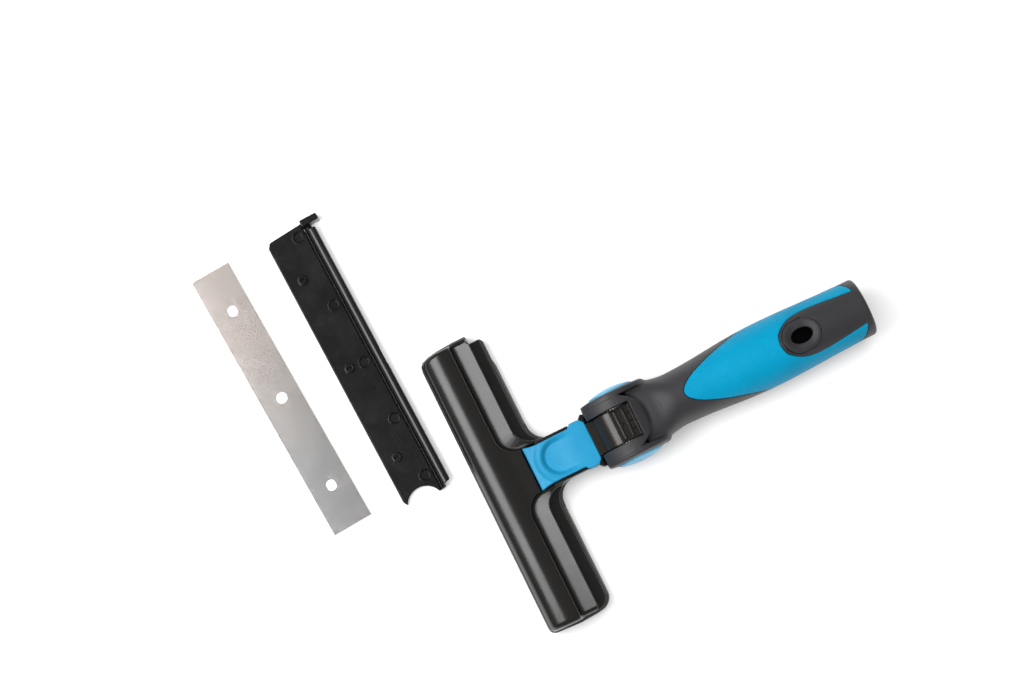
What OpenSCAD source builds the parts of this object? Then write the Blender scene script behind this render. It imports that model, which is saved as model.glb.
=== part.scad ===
// Blade scraper head on a swivelling two-component handle, with its loose blade carrier
// and its loose three-hole blade laid out beside it on one flat surface (z = 0).
// Tool frame: X runs from the head to the end of the handle, Y along the T-shaped head.

/* [Blade] */
// Length of the blade
blade_length = 152.4; // [150:0.1:152.4]
// Width of the blade
blade_width = 22.6; // [21.5:0.1:23]
// Thickness of the blade
blade_thickness = 0.8; // [0.4:0.1:0.8]
// Distance from the middle hole to each outer hole
hole_pitch = 52.6; // [48:0.1:54]

/* [Carrier] */
// Thickness of the carrier plate
plate_thickness = 2.6; // [2:0.1:2.6]
// Height of the pegs above the plate
peg_height = 1.6; // [1.2:0.1:1.9]

/* [Layout] */
// Turn of the loose carrier on the table
carrier_turn = 2; // [0:0.1:3]
// Turn of the loose blade on the table
blade_turn = 3.7; // [2:0.1:5]

/* [Head] */
// Top of the rounded bar above the table
bulge_top = 24.5; // [22:0.5:26]
// Half width of the neck
neck_half = 12.4; // [12:0.1:13]

/* [Pivot] */
// Radius of the round fork that the head swivels in
drum_radius = 17.9; // [17.5:0.1:17.95]
// Radius of the barrel between the cheeks
barrel_radius = 14; // [13:0.1:14]
// Radius of the push buttons
button_radius = 12; // [11:0.1:12]
// Teeth on each lock gear, and in the barrel round it
lock_teeth = 42; // [21:21:42]

/* [Handle] */
// Radius of the handle's thin neck
neck_radius = 14.2; // [13:0.1:15]
// Radius of the handle's widest part
swell_radius = 17.1; // [16.5:0.1:17.5]
// Radius of the handle's end
tail_radius = 15.5; // [15.3:0.1:16.5]
// Radius of the pole socket
socket_radius = 10.75; // [9:0.05:11]

/* [Hidden] */
$fn = 64;

// Pivot stack, measured outwards from the middle of the tool
axis_x = 5.5;
axis_z = 18;
cheek_in = 9.5;
cheek_out = 15;
web_in = 12.4;
web_out = 13.9;
ear_out = 18.3;
cap_in = 16.4;
cap_radius = 15.4;
hub_half = 9;
hub_web = 1.5;
panel_z = 30.6;
nose_x = 1.8;
nose_radius = 11.3;
gear_in = 7.1;
gear_out = 12.1;
gear_root = 9.8;
gear_tip = 11;
axle_radius = 3;
leg_ring = 7;
button_base = 17.05;
window_end = 11.3;

// Handle stations along X
neck_x = 33;
swell_x = 84;
tail_x = 142.2;
core_end = tail_x - 2.5;
sleeve_end = tail_x - 1;
skin_start = 25;
skin_depth = 2.5;
inlay_depth = 1.4;
inlay_end = 138.5;
hole_x = 105.2;

// Head stations along X
front_x = -76.5;
shell_front = -75.9;
bulge_mid = -64.4;
bulge_radius = 16;
plateau_z = 22.8;
pocket_x = -57.6;
ramp_z = 17.5;
ledge_x = -49.6;
ledge_z = 19.7;
strip_x = -42.6;
rear_x = -40.2;
lever_front = -47.7;
lever_rear = -13.1;
pin_x = -18.2;
pin_z = 16.5;
roof_z = 4.9;
base_top = 6.9;
open_end = 78.3;
shut_end = -80.1;
screw_x = -67;
screw_ys = [-66, -30, 30, 66];

// Layout on the table: where the middle peg of the carrier and the middle hole of the blade lie
carrier_at = [-109.6, 90.5];
blade_at = [-148.4, 92.8];
carrier_top = 80.3;
carrier_side = 22.8;
head_bottom = -80.8;
layout_left = blade_at[0] - blade_width / 2 * cos(blade_turn) - blade_length / 2 * sin(blade_turn);
layout_top = carrier_at[1] + carrier_top * cos(carrier_turn) + carrier_side * sin(carrier_turn);
layout_x = (layout_left + tail_x) / 2;
layout_y = (layout_top + head_bottom) / 2;

// ---- helpers ----

function arc(c, r, a0, a1, n = 6) =
    [for (i = [0:n]) let (a = a0 + (a1 - a0) * i / n) [c[0] + r * cos(a), c[1] + r * sin(a)]];

// Every module is drawn in the tool frame and then moved so the layout is centred
module placed() translate([-layout_x, -layout_y, 0]) children();

// A profile drawn in X and Z, run along Y
module along_y(y0, y1) translate([0, y1, 0]) rotate([90, 0, 0]) linear_extrude(y1 - y0) children();

// A cylinder on the swivel axis
module on_axis(y0, y1, r) translate([axis_x, y0, axis_z]) rotate([-90, 0, 0]) cylinder(h = y1 - y0, r = r);

// A shape drawn about +Z, laid on the swivel axis with +Z turned to +Y
module to_axis() translate([axis_x, 0, axis_z]) rotate([-90, 0, 0]) children();

module both_sides() {
    children();
    mirror([0, 1, 0]) children();
}

// A round coil spring standing on z = 0
module coil(r, wire, height, turns, steps = 14, sides = 8) {
    total = steps * turns;
    rings = [for (i = [0:total], j = [0:sides - 1])
        let (a = 360 * i / steps, b = 360 * j / sides, d = r + wire * cos(b))
        [d * cos(a), d * sin(a), wire + (height - 2 * wire) * i / total + wire * sin(b)]];
    walls = [for (i = [0:total - 1], j = [0:sides - 1]) let (k = (j + 1) % sides)
        [i * sides + j, (i + 1) * sides + j, (i + 1) * sides + k, i * sides + k]];
    polyhedron(rings, concat([[for (j = [0:sides - 1]) j]], walls,
        [[for (j = [sides - 1:-1:0]) total * sides + j]]), convexity = 6);
}

// A pan-head screw standing on its head, head down
module screw(r, head_r, length) {
    difference() {
        cylinder(h = 1.4, r = head_r);
        translate([0, 0, -0.1]) cylinder(h = 0.9, r = head_r / 2.2, $fn = 6);
    }
    translate([0, 0, 1.3]) cylinder(h = length - 1.3, r = r);
}

// ---- handle ----

// Half width of the grip at a place along X: a thin neck, a swell and a slimmer end
function blend(a, b, t) = a + (b - a) * (1 - cos(180 * t)) / 2;
function grip_r(x) =
    x < neck_x ? neck_radius + 1.2 * pow((neck_x - x) / 12, 2) :
    x < swell_x ? blend(neck_radius, swell_radius, (x - neck_x) / (swell_x - neck_x)) :
    blend(swell_radius, tail_radius, min(1, (x - swell_x) / (core_end - swell_x)));

// The grip's outer form, shrunk by depth, from x0 to x1
module grip_form(x0, x1, depth, n = 16) {
    outline = concat([[0, x0]],
        [for (i = [0:n]) let (x = x0 + (x1 - x0) * i / n) [grip_r(x) - depth, x]], [[0, x1]]);
    translate([0, 0, axis_z]) rotate([90, 0, 90]) rotate_extrude() polygon(outline);
}

module tube_x(x0, x1, r) translate([x0, 0, axis_z]) rotate([0, 90, 0]) cylinder(h = x1 - x0, r = r);

// The long hole through the top wall of the handle
module slot_hole(width, length, z0, z1) translate([hole_x, 0, z0]) linear_extrude(z1 - z0) {
    for (s = [-1, 1]) translate([s * (length - width) / 2, 0]) circle(d = width);
    square([length - width, width], center = true);
}

// Outline of a lock gear, or of the toothed pocket around it when gap is more than 0
module gear_outline(gap = 0) {
    pitch = 360 / lock_teeth;
    tooth = [[gear_root, -0.3], [gear_tip, -0.16], [gear_tip, 0.16], [gear_root, 0.3]];
    polygon([for (i = [0:lock_teeth - 1], p = tooth)
        let (r = p[0] + gap, a = pitch * (i + p[1]) + sign(p[1]) * gap * 3) r * [cos(a), sin(a)]]);
}

module gear_pocket(y0, y1) to_axis() translate([0, 0, y0]) linear_extrude(y1 - y0) gear_outline(0.25);

// Plan of the fork: straight in front, rounded behind
module fork_plan() {
    translate([-13, -cheek_out]) square([22, 2 * cheek_out]);
    intersection() {
        translate([1.5, 0]) circle(r = 15.6);
        translate([5, -cheek_out]) square([20, 2 * cheek_out]);
    }
}

module fork_hollows() {
    translate([-20, -cheek_in, -1]) cube([20 + window_end, 2 * cheek_in, 40]);
    on_axis(-cheek_in, cheek_in, barrel_radius + 0.8);
    both_sides() {
        // A plain round pocket, in which the gear turns freely: the fork's own lock teeth are left out
        on_axis(cheek_in - 0.1, web_in, gear_tip + 0.3);
        on_axis(web_in - 0.1, web_out + 0.1, axle_radius + 0.02);
        for (a = [90, 210, 330]) to_axis() rotate([0, 0, a])
            translate([leg_ring, 0, web_in - 0.1]) cylinder(h = 1.7, r = 1.65, $fn = 32);
        on_axis(web_out, ear_out + 1, button_radius + 1.4);
        on_axis(cap_in, ear_out + 1, cap_radius + 0.1);
    }
}

module handle_core() color([0.24, 0.24, 0.26]) placed() difference() {
    union() {
        intersection() {
            on_axis(-cheek_out, cheek_out, drum_radius);
            linear_extrude(40) fork_plan();
        }
        both_sides() on_axis(cheek_out - 0.5, ear_out, drum_radius);
        grip_form(14, skin_start, 0, 4);
        grip_form(skin_start - 1, core_end, skin_depth);
    }
    fork_hollows();
    tube_x(92, tail_x + 5, socket_radius + 1.5);
    tube_x(36, 92.5, 8);
    slot_hole(7.8, 12, axis_z, axis_z + 20);
}

// Plan and side limits of the blue inlay: a long leaf with two legs beside the slot
module inlay_region(gap = 0) {
    leaf = concat([for (i = [0:10]) let (t = i / 10) [39 - gap + 46 * t, (18.5 + gap) * sqrt(sin(90 * t))]],
        [[130, 18.5 + gap], [134, 16.5 + gap], [inlay_end + gap, 10 - gap]],
        [[115, 11.7 - gap], [104, 11 - gap]], arc([104, 0], 11 - gap, 90, 270, 10), [[115, -11.7 + gap]],
        [[inlay_end + gap, -10 + gap], [134, -16.5 - gap], [130, -18.5 - gap]],
        [for (i = [10:-1:1]) let (t = i / 10) [39 - gap + 46 * t, -(18.5 + gap) * sqrt(sin(90 * t))]]);
    translate([0, 0, axis_z - 5 - gap]) linear_extrude(30) polygon(leaf);
}

module grip_skin() color([0.27, 0.27, 0.29]) placed() difference() {
    grip_form(skin_start, tail_x, 0);
    grip_form(skin_start - 1, core_end, skin_depth);
    tube_x(core_end - 2, tail_x + 5, socket_radius + 1.5);
    intersection() {
        inlay_region(0.05);
        difference() {
            grip_form(37, inlay_end + 0.5, -1);
            grip_form(36, inlay_end + 1, inlay_depth);
        }
    }
    slot_hole(16.5, 20.3, axis_z + 8, axis_z + 20);
}

module grip_inlay() color([0, 0.62, 0.85]) placed() intersection() {
    inlay_region();
    difference() {
        grip_form(38, inlay_end + 0.3, -0.05);
        grip_form(37, inlay_end + 1, inlay_depth - 0.05);
    }
}

module hole_collar() color([0.3, 0.3, 0.32]) placed() difference() {
    slot_hole(16.4, 20.2, axis_z + 10, axis_z + swell_radius + 0.3);
    grip_form(90, 120, skin_depth - 0.05);
    slot_hole(7.8, 12, axis_z, axis_z + 20);
}

module pole_sleeve() color([0.12, 0.12, 0.13]) placed() difference() {
    tube_x(92.5, sleeve_end, socket_radius + 1.45);
    tube_x(92, tail_x + 5, socket_radius);
    slot_hole(7.8, 12, axis_z, axis_z + 20);
}

// ---- swivel ----

module ear_cap() color([0.25, 0.25, 0.27]) placed() to_axis() rotate_extrude() polygon([
    [button_radius + 0.15, 17.8], [button_radius + 1.25, 17.8], [button_radius + 1.25, cap_in + 0.05],
    [cap_radius, cap_in + 0.05], [cap_radius, 18.3], [cap_radius - 1, 18.7], [button_radius + 0.15, 18.9]]);

module ear_cap_left() ear_cap();

module ear_cap_right() tool_mirror() ear_cap();

// Mirrors a placed node across the tool's middle plane
module tool_mirror() translate([0, -2 * layout_y, 0]) mirror([0, 1, 0]) children();

module pivot_axle() color([0.7, 0.7, 0.72]) placed() on_axis(-14.95, 14.95, axle_radius);

module axle_clips() color([0.5, 0.5, 0.52]) placed() both_sides() to_axis()
    translate([0, 0, web_out + 0.05]) difference() {
        cylinder(h = 0.7, r = 5);
        translate([0, 0, -0.5]) cylinder(h = 2, r = axle_radius);
        translate([1.6, -1.2, -0.5]) cube([5, 2.4, 2]);
    }

// Domed push button with a retaining flange, a hollow back and three legs that bear on the gear
module side_button() color([0.55, 0.8, 0.93]) placed() to_axis() {
    dome = [for (i = [0:6]) let (t = 1 - i / 6) [button_radius * t, 18.9 + 1.7 * (1 - t * t)]];
    rotate_extrude() polygon(concat([[0, 18.35], [button_radius - 1.5, 18.35],
        [button_radius - 1.5, button_base], [button_radius + 1, button_base],
        [button_radius + 1, button_base + 0.6], [button_radius, button_base + 0.6]], dome));
    for (a = [90, 210, 330]) rotate([0, 0, a]) translate([leg_ring, 0, gear_out + 0.02])
        cylinder(h = 18.5 - gear_out, r = 1.5, $fn = 32);
}

module side_button_left() side_button();

module side_button_right() tool_mirror() side_button();

module lock_gear() color([0.75, 0.75, 0.7]) placed() to_axis() translate([0, 0, gear_in])
    linear_extrude(gear_out - gear_in) difference() {
        gear_outline();
        circle(r = axle_radius + 0.05);
    }

module lock_gear_left() lock_gear();

module lock_gear_right() tool_mirror() lock_gear();

module gear_spring() color([0.8, 0.8, 0.82]) placed() to_axis()
    translate([0, 0, hub_web + 0.02]) coil(5, 0.45, gear_in - hub_web - 0.04, 3);

module gear_spring_left() gear_spring();

module gear_spring_right() tool_mirror() gear_spring();

module pivot_hub() color([0.1, 0.1, 0.1]) placed() difference() {
    union() {
        intersection() {
            on_axis(-hub_half, hub_half, barrel_radius);
            translate([-20, -20, 0]) cube([50, 40, panel_z]);
        }
        intersection() {
            translate([nose_x, -hub_half, panel_z - nose_radius]) rotate([-90, 0, 0])
                cylinder(h = 2 * hub_half, r = nose_radius);
            translate([-8.6, -20, axis_z]) cube([20, 40, 20]);
        }
        translate([-13, -hub_half, axis_z - 6]) cube([13, 2 * hub_half, 9]);
        difference() {
            translate([-15.5, -14.8, 7]) cube([6.5, 29.6, 10]);
            on_axis(-15, 15, drum_radius + 0.3);
        }
        translate([-36, -7, 9.6]) cube([21, 14, 2.5]);
    }
    both_sides() gear_pocket(hub_web, hub_half + 1);
    on_axis(-2, 2, axle_radius + 0.05);
    for (x = [-32, -24]) translate([x, 0, 9]) cylinder(h = 4, r = 1.2, $fn = 32);
}

// ---- neck and latch ----

module neck_frame() color([0.2, 0.2, 0.21]) placed() difference() {
    union() {
        translate([-43, -10.3, 9]) cube([27.3, 20.6, 4]);
        both_sides() intersection() {
            hull() {
                translate([pin_x, 6, pin_z]) rotate([-90, 0, 0]) cylinder(h = 4.3, r = 2.4, $fn = 32);
                translate([pin_x - 2.4, 6, 11]) cube([4.8, 4.3, 1]);
            }
            translate([-30, 0, 0]) cube([14.35, 20, 30]);
        }
    }
    translate([-37, -7.1, 9.5]) cube([25, 14.2, 2.7]);
    translate([pin_x, -12, pin_z]) rotate([-90, 0, 0]) cylinder(h = 24, r = 1.25, $fn = 32);
    for (x = [-32, -24]) translate([x, 0, 8]) cylinder(h = 6, r = 1.25, $fn = 32);
}

module neck_screws() color([0.7, 0.7, 0.7]) placed()
    for (x = [-32, -24]) translate([x, 0, 7.6]) screw(1.2, 2.3, 5.3);

// Blue thumb lever: rocks about the latch pin and carries the hook that holds the carrier
module latch_lever() color([0.3, 0.7, 0.9]) placed() difference() {
    union() {
        intersection() {
            translate([0, 0, 14]) linear_extrude(10) polygon([[lever_front, -12], [-40, -10.7],
                [-21.4, -10.7], [-21.2, -12.9], [-15.6, -12.9], [lever_rear, -11], [lever_rear, 11],
                [-15.6, 12.9], [-21.2, 12.9], [-21.4, 10.7], [-40, 10.7], [lever_front, 12]]);
            along_y(-14, 14) polygon([[lever_front, 15.8], [-46.5, 14.4], [-15.9, 14.4], [-15.6, 17.5],
                [lever_rear, 18.4], [lever_rear, 21.6], [-20, 22.4], [-40, 23], [lever_front, 22.4]]);
        }
        both_sides() translate([pin_x, 10.9, pin_z]) rotate([-90, 0, 0]) cylinder(h = 2, r = 2.6, $fn = 32);
        translate([-47.4, -3, 3]) cube([2.6, 6, 13]);
        translate([-50.2, -3, 3]) cube([3, 6, 2.3]);
    }
    // Thumb dish, deepest towards the front
    translate([-25.5, 0, 45]) rotate([0, 4, 0]) intersection() {
        translate([0, 0, -23.6]) cylinder(h = 30, r = 9.4);
        translate([-18, -9.4, -23.6]) cube([40, 18.8, 30]);
    }
    translate([-44.5, -9.3, 14]) cube([23, 18.6, 3.6]);
    translate([-22, -10.7, 13]) cube([7, 21.4, 6.3]);
    translate([pin_x, -14, pin_z]) rotate([-90, 0, 0]) cylinder(h = 28, r = 1.32, $fn = 32);
}

module latch_pin() color([0.75, 0.75, 0.77]) placed()
    translate([pin_x, -12.8, pin_z]) rotate([-90, 0, 0]) cylinder(h = 25.6, r = 1.25, $fn = 32);

module latch_spring() color([0.8, 0.8, 0.82]) placed()
    translate([-39.5, 0, 13.02]) coil(2.6, 0.35, 4.55, 4);

// ---- head ----

// Arched bar in section, grown or shrunk by a
function bulge(a = 0) = concat(arc([bulge_mid, bulge_top - bulge_radius], bulge_radius + a, 66, 136, 14),
    [[shell_front - a, base_top], [pocket_x + 0.2 + a, base_top]]);

// Plan of the raised part: the bar's back and the neck that grows out of it
module plateau_plan(y_out, x_end) polygon(concat([[bulge_mid, -22]], arc([-47.6, -22], 9.6, 180, 90, 6),
    [[x_end, -y_out], [x_end, y_out]], arc([-47.6, 22], 9.6, 270, 180, 6), [[bulge_mid, 22]]));

module strip_plan() polygon(concat([[-60, -79.2]], arc([-49.6, -72.2], 7, 270, 360, 5),
    arc([-31.5, -23.3], 11.1, 180, 90, 6),
    arc([-31.5, 23.3], 11.1, 270, 180, 6), [[strip_x, 73.7], [-48.5, 73.7], [-48.5, 76.4], [-60, 76.4]]));

// Plan of the sloping ramp behind the bar: its ridge curves round into the neck
module ridge_plan() polygon(concat([[-60, -78.6], [-50.6, -78.6], [-48.6, -76.5]],
    arc([-38.5, -23.3], 10.1, 180, 90, 6), arc([-38.5, 23.3], 10.1, 270, 180, 6), [[-48.6, 76], [-60, 76]]));

module shell_outer() {
    along_y(-79, 76.2) polygon(bulge());
    intersection() {
        translate([0, 0, base_top]) linear_extrude(20) ridge_plan();
        along_y(-80, 80) polygon([[-60, base_top], [-60, ramp_z - 0.7], [pocket_x, ramp_z], [ledge_x, ledge_z],
            [-45, ledge_z], [-38.4, 16], [-38.4, base_top]]);
    }
    intersection() {
        translate([0, 0, base_top]) linear_extrude(20) strip_plan();
        along_y(-80, 80) polygon([[-60, base_top], [-60, 8.8], [-48.6, 8.8], [-42.9, 8.6], [strip_x, 8.2],
            [strip_x, base_top]]);
    }
    translate([0, 0, base_top]) linear_extrude(plateau_z - base_top) plateau_plan(neck_half, -46);
}

module shell_hollow() {
    along_y(-77, 74.4) polygon(bulge(-1.8));
    translate([shell_front + 1.8, -77, base_top - 1]) cube([14, 151.4, 1.1]);
    along_y(-77, 72) polygon([[-62, 6], [-62, 14.8], [-57, ramp_z - 1.7], [-50.8, ledge_z - 2.3],
        [-50.8, 8.4], [-47.9, 8.4], [-47.9, 6]]);
    translate([-66, -10.7, 6]) cube([18.3, 21.4, 14.8]);
    translate([-57.2, -85, 6]) cube([9.7, 170, 2.4]);
    translate([lever_front - 0.8, -12.5, 6]) cube([30, 25, 20]);
}

module head_shell() color([0.13, 0.13, 0.12]) placed() {
    difference() {
        shell_outer();
        shell_hollow();
    }
    // Side walls of the neck beside the lever
    difference() {
        both_sides() translate([-48.6, 10.95, 9.1]) cube([27, neck_half - 10.95, 11.4]);
        translate([-49, -13, 12.4]) cube([8.5, 26, 10]);
    }
    for (y = screw_ys) translate([screw_x, y, base_top]) difference() {
        cylinder(h = 13, r = 3);
        translate([0, 0, -1]) cylinder(h = 9.5, r = 1.32, $fn = 32);
    }
}

module base_plan() polygon(concat(arc([-72.5, -76], 4, 180, 270, 5), [[-60, -80.8], [-49, shut_end]],
    arc([-48.2, -71.9], 8, 280, 360, 6), arc([-30.2, -22.2], 10, 180, 90, 6),
    [[-15.9, -12.2], [-15.9, 12.2]], arc([-30.2, 22.2], 10, 270, 180, 6),
    [[rear_x, 73.7], [-48.5, 73.7], [-48.5, open_end], [-58, open_end], [-65, 77.9], [-70.5, 77.1], [-74, 75.8],
        [-76, 73.4], [front_x, 70]]));

// Lower half of the head: roof over the blade, guide slot for the carrier's rail, end wall
module head_base() color([0.17, 0.17, 0.17]) placed() difference() {
    intersection() {
        linear_extrude(9) base_plan();
        union() {
            along_y(-85, 85) polygon([[front_x, roof_z], [front_x, 6.2], [-75.8, base_top], [-57, base_top],
                [-57, 8.3], [-48.2, 8.3], [-47.6, base_top], [strip_x, base_top], [strip_x, 5.6],
                [rear_x, 4.6], [rear_x, 0.8], [-41, 0], [-50.2, 0], [-50.8, 0.6], [-50.8, 4.2],
                [-48.8, 4.2], [-48.8, 6.7], [-54.3, 6.7], [-54.3, roof_z]]);
            translate([-80, -85, 0]) cube([35, 8, 6]);
            translate([strip_x, -24, 3]) cube([30, 48, 2.6]);
            translate([-47.6, -12.2, 3]) cube([32, 24.4, 5.9]);
        }
    }
    translate([-51.3, -3.6, -1]) cube([8, 7.2, 12]);
    translate([-42, 61, -1]) cube([1, 20, 9]);
    for (x = [-32, -24]) translate([x, 0, 0]) cylinder(h = 12, r = 2.6, $fn = 32);
    for (y = screw_ys) translate([screw_x, y, 0]) {
        cylinder(h = 6, r = 2.7, $fn = 32);
        cylinder(h = 12, r = 1.45, $fn = 32);
    }
}

module head_screws() color([0.7, 0.7, 0.7]) placed()
    for (y = screw_ys) translate([screw_x, y, 5.1]) difference() {
        union() {
            cylinder(h = 0.9, r = 2.6, $fn = 32);
            translate([0, 0, 0.8]) cylinder(h = 8, r = 1.3, $fn = 32);
        }
        translate([0, 0, -0.1]) cylinder(h = 0.7, r = 1.1, $fn = 6);
    }

// ---- loose carrier and blade ----

module peg(flat_width) intersection() {
    cylinder(h = peg_height, r = 2.5, $fn = 32);
    translate([-flat_width / 2, -3, 0]) cube([flat_width, 6, peg_height]);
}

module carrier_plan() polygon(concat([[-8.3, -74.7], [-6.8, -77.5]], arc([2, -81.6], 9.75, 154, 20, 12),
    [[11.5, -78.5], [15.5, -78.2], [15.5, -76.2], [18.3, -75.8], [19.2, -74.6], [19.2, carrier_top],
    [13.2, carrier_top], [12.2, 79.6], [-6.3, 78.3], [-8.3, 75.4]]));

module blade_carrier() color([0.14, 0.14, 0.14]) placed()
    translate([carrier_at[0], carrier_at[1], 0]) rotate([0, 0, carrier_turn]) difference() {
        union() {
            intersection() {
                linear_extrude(8) carrier_plan();
                along_y(-82, 82) polygon([[-9, 0], [-9, 2.1], [-8.3, 2.1], [-7.8, plate_thickness],
                    [12.4, plate_thickness], [12.6, 2], [12.9, 2], [13.1, 3.3], [13.8, 3.3], [14, 2],
                    [14.9, 2], [14.9, 3.9], [14.4, 4.2], [14.4, 5.2], [15.2, 5.8], [18.4, 5.8], [19.2, 5],
                    [19.2, 3.9], [17.2, 3.9], [17.2, 0]]);
            }
            for (y = [-hole_pitch, 0, hole_pitch]) translate([0, y, plate_thickness]) peg(4.4);
            translate([12.9, carrier_top - 4.6, 0]) cube([carrier_side - 12.9, 4.6, 9]);
        }
        translate([12.85, 74.5, 2]) cube([8, 2.2, 10]);
        for (y = [-67.6, -34, -0.5, 33.5, 73.7])
            translate([8.4, y, plate_thickness - 0.3]) cylinder(h = 1, r = 2.7, $fn = 32);
        translate([17.45, -7, 3]) cube([3, 9, 2]);
    }

module blade_hole(half_width, y) translate([0, y, -1]) intersection() {
    cylinder(h = 4, r = 3, $fn = 48);
    translate([-half_width, -4, 0]) cube([2 * half_width, 8, 4]);
}

module blade() color([0.72, 0.7, 0.69]) placed()
    translate([blade_at[0], blade_at[1], 0]) rotate([0, 0, blade_turn]) difference() {
        along_y(-blade_length / 2, blade_length / 2) polygon([[-blade_width / 2, 0],
            [blade_width / 2 - 1.6, 0], [blade_width / 2, blade_thickness / 2 - 0.05],
            [blade_width / 2, blade_thickness / 2 + 0.05], [blade_width / 2 - 1.6, blade_thickness],
            [-blade_width / 2, blade_thickness]]);
        blade_hole(2.7, hole_pitch);
        blade_hole(3, 0);
        blade_hole(2.7, -hole_pitch);
    }

handle_core();
grip_skin();
grip_inlay();
hole_collar();
pole_sleeve();
ear_cap_left();
ear_cap_right();
pivot_axle();
axle_clips();
side_button_left();
side_button_right();
lock_gear_left();
lock_gear_right();
gear_spring_left();
gear_spring_right();
pivot_hub();
neck_frame();
neck_screws();
head_shell();
head_base();
head_screws();
latch_lever();
latch_pin();
latch_spring();
blade_carrier();
blade();
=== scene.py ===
"""Blade scraper with swivel handle, loose carrier and loose blade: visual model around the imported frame."""
import math

import bpy
import numpy as np
from mathutils import Matrix, Vector


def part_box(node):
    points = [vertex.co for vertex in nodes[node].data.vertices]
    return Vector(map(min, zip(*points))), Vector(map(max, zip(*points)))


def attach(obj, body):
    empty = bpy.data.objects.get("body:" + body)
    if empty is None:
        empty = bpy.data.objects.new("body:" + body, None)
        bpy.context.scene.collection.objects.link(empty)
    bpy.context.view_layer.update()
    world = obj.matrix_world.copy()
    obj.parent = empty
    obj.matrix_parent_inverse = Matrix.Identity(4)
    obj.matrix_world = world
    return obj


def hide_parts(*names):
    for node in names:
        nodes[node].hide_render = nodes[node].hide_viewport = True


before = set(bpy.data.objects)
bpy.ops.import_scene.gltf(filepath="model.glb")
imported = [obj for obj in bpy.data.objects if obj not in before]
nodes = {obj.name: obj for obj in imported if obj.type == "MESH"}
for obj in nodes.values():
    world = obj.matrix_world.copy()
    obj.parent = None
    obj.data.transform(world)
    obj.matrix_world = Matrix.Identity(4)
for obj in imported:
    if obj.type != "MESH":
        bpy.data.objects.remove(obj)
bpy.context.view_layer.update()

# ---- tool frame: millimetres, X from head to handle end, Y along the head, Z up from the table ----

MM = 0.001
PIVOT_X = 5.5
AXIS_Z = 18.0
axle_lo, axle_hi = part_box("pivot_axle")
LAYOUT = np.array([(axle_lo[0] + axle_hi[0]) / 2 - PIVOT_X * MM, (axle_lo[1] + axle_hi[1]) / 2, 0.0])
# the loose carrier and the loose blade each have a millimetre frame of their own, turned on the table
CARRIER_AT = np.array([-109.6, 90.5, 0.0])
CARRIER_TURN = math.radians(2.0)
BLADE_AT = np.array([-148.4, 92.8, 0.0])
BLADE_TURN = math.radians(3.7)


def to_frame(points):
    """Points of the tool frame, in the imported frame's metres."""
    return points * MM + LAYOUT


def tool_point(x, y, z):
    return Vector(to_frame(np.array([x, y, z], float)))


# ---- signed distance helpers: negative inside, all in millimetres ----

def smax(a, b, r):
    """Rounded intersection of two solids."""
    return np.minimum(np.maximum(a, b), -r) + np.hypot(np.maximum(a + r, 0), np.maximum(b + r, 0))


def smin(a, b, r):
    """Union of two solids with a fillet."""
    return -smax(-a, -b, r)


def slab(v, lo, hi):
    """Everything between two planes."""
    return np.abs(v - (lo + hi) / 2) - (hi - lo) / 2


def rect(x, y, x0, x1, y0, y1, r=0.0):
    """Rectangle with corners of radius r."""
    dx = slab(x, x0, x1) + r
    dy = slab(y, y0, y1) + r
    return np.minimum(np.maximum(dx, dy), 0) + np.hypot(np.maximum(dx, 0), np.maximum(dy, 0)) - r


def stadium(x, y, half, r):
    """Everything within r of the line from -half to half."""
    return np.hypot(np.maximum(np.abs(x) - half, 0), y) - r


def poly(u, v, pts):
    """Exact signed distance to a closed polygon, whichever way it winds."""
    u, v = np.broadcast_arrays(np.asarray(u, float), np.asarray(v, float))
    best = np.full(u.shape, 1e18)
    inside = np.zeros(u.shape, bool)
    for (ax, ay), (bx, by) in zip(pts, pts[1:] + pts[:1]):
        ex, ey = bx - ax, by - ay
        wx, wy = u - ax, v - ay
        t = np.clip((wx * ex + wy * ey) / (ex * ex + ey * ey), 0, 1)
        best = np.minimum(best, (wx - ex * t) ** 2 + (wy - ey * t) ** 2)
        if ey:
            crosses = (v >= ay) != (v >= by)
            inside ^= crosses & (wx < ex * wy / ey)
    return np.where(inside, -1, 1) * np.sqrt(best)


def arc(cx, cy, r, a0, a1, n):
    """A round stretch of an outline, in n steps from one angle to the other, in degrees."""
    angles = [math.radians(a0 + (a1 - a0) * i / n) for i in range(n + 1)]
    return [(cx + r * math.cos(a), cy + r * math.sin(a)) for a in angles]


def mirrored(half):
    """Closes an outline that is the same on both sides of y = 0, from its points on one side."""
    return half + [(x, -y) for x, y in reversed(half)]


def smooth(t):
    """Climbs from 0 to 1 with t, level at both ends."""
    t = np.clip(t, 0, 1)
    return t * t * (3 - 2 * t)


def curve(x, pts):
    """Smooth curve through a few (x, y) points, by cubic Hermite segments."""
    px, py = np.array(pts, float).T
    step = np.diff(py) / np.diff(px)
    m = np.concatenate([[step[0]], (step[1:] + step[:-1]) / 2, [step[-1]]])
    x = np.clip(x, px[0], px[-1])
    i = np.clip(np.searchsorted(px, x, side="right") - 1, 0, len(px) - 2)
    h = px[i + 1] - px[i]
    t = (x - px[i]) / h
    return ((2 * t ** 3 - 3 * t ** 2 + 1) * py[i] + (t ** 3 - 2 * t ** 2 + t) * h * m[i]
            + (3 * t ** 2 - 2 * t ** 3) * py[i + 1] + (t ** 3 - t ** 2) * h * m[i + 1])


# ---- from a field to a mesh ----

PROJECT_ROUNDS = 2
LEAST_SLOPE = 0.2  # keeps a step finite where a field is nearly level
RELAX = 0.5
LATHE_STEPS, LATHE_SHARP = 96, math.radians(35)


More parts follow.
